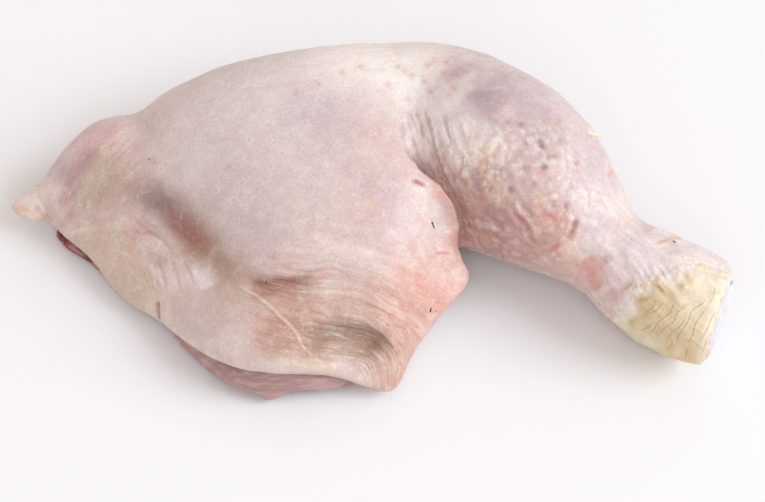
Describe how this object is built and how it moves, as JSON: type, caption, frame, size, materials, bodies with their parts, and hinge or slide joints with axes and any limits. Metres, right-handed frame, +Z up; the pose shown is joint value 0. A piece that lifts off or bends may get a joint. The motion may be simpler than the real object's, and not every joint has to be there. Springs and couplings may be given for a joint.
{
  "type": "raw chicken leg quarter",
  "caption": "Raw chicken thigh and drumstick in one piece, lying skin side up, with bare meat under the thigh and a cut hock in yellow scale skin.",
  "frame": {"origin": "centre of the bounding box on the surface that the leg lies on", "axes": "+X from the hip end to the cut hock, +Y from the loose skin edge of the thigh to its far side, +Z up through the skin side"},
  "size_m": [0.2162, 0.1208, 0.0514],
  "materials": {
    "skin": "moist raw skin",
    "bare_meat": "moist raw meat",
    "scale_skin": "dry yellow scales",
    "cartilage": "smooth moist cartilage",
    "tail_skin": "pale fatty skin"
  },
  "bodies": {
    "root": {"leg": "skin", "thigh_meat": "bare_meat", "shank_skin": "scale_skin", "hock_cartilage": "cartilage", "tail_flap": "tail_skin"}
  },
  "joints": []
}
